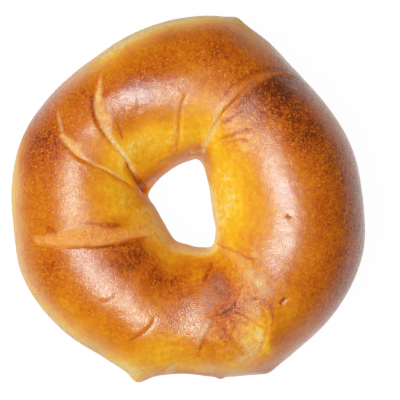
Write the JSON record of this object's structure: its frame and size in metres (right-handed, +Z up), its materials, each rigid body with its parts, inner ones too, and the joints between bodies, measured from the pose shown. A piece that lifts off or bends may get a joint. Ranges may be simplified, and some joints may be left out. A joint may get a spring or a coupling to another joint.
{
  "type": "bagel",
  "caption": "Plain baked bagel with a glossy golden-brown crust, an uneven ring with stretch folds, a pinched seam and an off-centre hole.",
  "frame": {"origin": "on the table under the middle of the bagel's box, inside the hole", "axes": "+Z up out of the domed top; +Y along the longer way across the ring, away from the pinched seam; +X to the right seen from above"},
  "size_m": [0.1059, 0.1099, 0.0395],
  "materials": {
    "crust": null
  },
  "bodies": {
    "root": {"bagel": "crust"}
  },
  "joints": []
}
